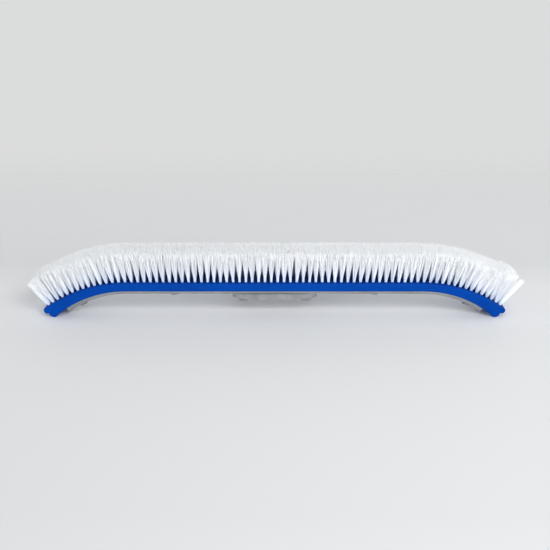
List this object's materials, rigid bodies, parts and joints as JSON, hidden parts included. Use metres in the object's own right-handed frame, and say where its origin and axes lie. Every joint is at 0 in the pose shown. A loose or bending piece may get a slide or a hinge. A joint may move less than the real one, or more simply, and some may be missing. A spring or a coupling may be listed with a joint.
{
  "type": "pool wall brush",
  "caption": "Curved pool wall brush head: rows of white bristle tufts in a blue block, with an aluminium back channel and a cast pole handle with a spring button clip.",
  "frame": {"origin": "on the pole spigot's axis, at the shoulder that the pole's end stops against", "axes": "+X along the brush, +Z the way the bristles point, +Y towards the pole; the spigot points to +Y and 5 degrees below the XY plane"},
  "size_m": [0.4932, 0.1497, 0.0656],
  "materials": {
    "blue_plastic": "moulded polypropylene, satin gloss",
    "white_bristle": "drawn nylon filament, translucent white",
    "staple_wire": "flat anchor wire",
    "extruded_aluminium": "mill finish extrusion",
    "cast_aluminium": "tumbled casting, spigot turned",
    "stainless_steel": "bright stainless",
    "spring_steel": "rolled stainless strip"
  },
  "bodies": {
    "brush": {"brush_block": "blue_plastic", "bristle_row_1": "white_bristle", "bristle_row_2": "white_bristle", "bristle_row_3": "white_bristle", "bristle_row_4": "white_bristle", "bristle_row_5": "white_bristle", "tuft_staples": "staple_wire", "back_channel": "extruded_aluminium", "channel_screws": "stainless_steel", "handle_casting": "cast_aluminium", "handle_bolts": "stainless_steel", "flat_washers": "stainless_steel", "lock_washers": "stainless_steel", "hex_nuts": "stainless_steel", "clip_bend": "spring_steel"},
    "clip_left": {"clip_leg_left": "spring_steel", "clip_button_left": "stainless_steel"},
    "clip_right": {"clip_leg_right": "spring_steel", "clip_button_right": "stainless_steel"}
  },
  "joints": [
    {"name": "clip_press_left", "type": "hinge", "parent": "brush", "child": "clip_left", "pos_m": [-0.00598, 0.00853, -0.00075], "axis": [0, -0.0872, -0.9962], "range_deg": [0, 6], "stiffness_Nm_per_rad": 2, "springref_deg": -2.86},
    {"name": "clip_press_right", "type": "hinge", "parent": "brush", "child": "clip_right", "pos_m": [0.00598, 0.00853, -0.00075], "axis": [0, 0.0872, 0.9962], "range_deg": [0, 6], "stiffness_Nm_per_rad": 2, "springref_deg": -2.86}
  ]
}
